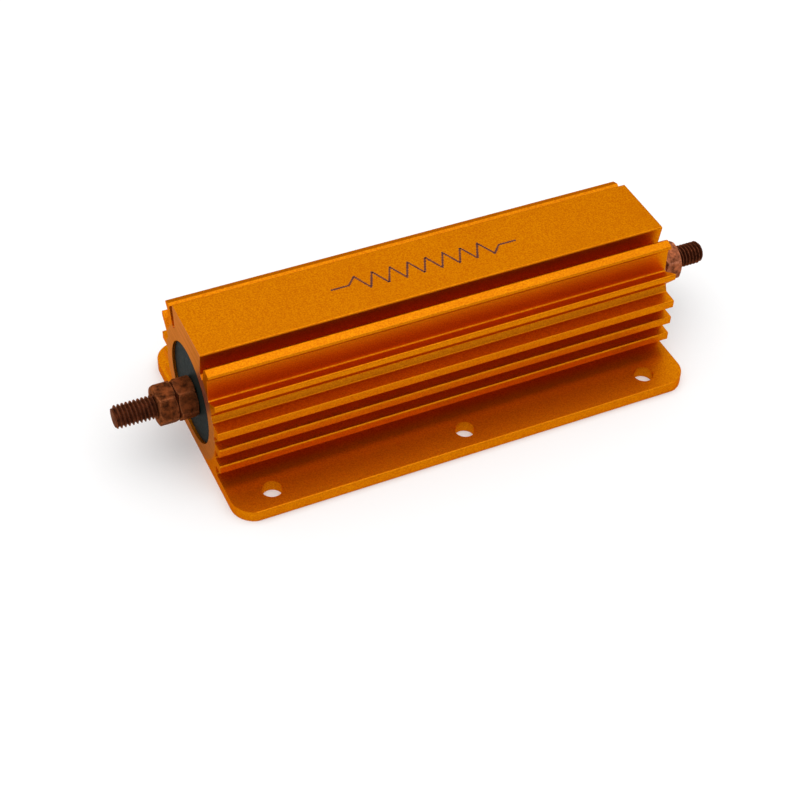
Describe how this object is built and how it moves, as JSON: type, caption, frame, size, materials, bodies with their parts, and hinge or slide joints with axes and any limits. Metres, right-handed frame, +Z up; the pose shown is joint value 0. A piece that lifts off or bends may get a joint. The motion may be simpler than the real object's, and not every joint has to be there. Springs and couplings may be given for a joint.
{
  "type": "aluminium housed power resistor",
  "caption": "Flange-mounted power resistor: wirewound element cemented in a finned anodised aluminium extrusion, with a threaded stud and nuts at each end.",
  "frame": {"origin": "middle of the housing's mounting face, midway between its cut ends and its flanges", "axes": "+X along the housing and the studs, +Y across the flanges, +Z up from the mounting face to the flat land"},
  "size_m": [0.1322, 0.052, 0.029],
  "materials": {
    "anodised_housing": "gold-orange anodised, fine satin grain",
    "ceramic": "unglazed ceramic",
    "enamelled_winding": "vitreous enamel",
    "cement": "set mineral cement",
    "plated_caps": "nickel plated pressing",
    "moulding_compound": "dull black moulding compound",
    "oxidised_stud": "dull dark brown oxidised copper plating",
    "oxidised_nut": "brown oxidised copper plating"
  },
  "bodies": {
    "root": {"housing": "anodised_housing", "ceramic_core": "ceramic", "resistance_wire": "enamelled_winding", "cement_fill": "cement", "end_cap_left": "plated_caps", "end_cap_right": "plated_caps", "end_seal_left": "moulding_compound", "end_seal_right": "moulding_compound", "terminal_stud_left": "oxidised_stud", "terminal_stud_right": "oxidised_stud", "seat_nut_left": "oxidised_nut", "seat_nut_right": "oxidised_nut", "terminal_nut_left": "oxidised_nut", "terminal_nut_right": "oxidised_nut"}
  },
  "joints": []
}
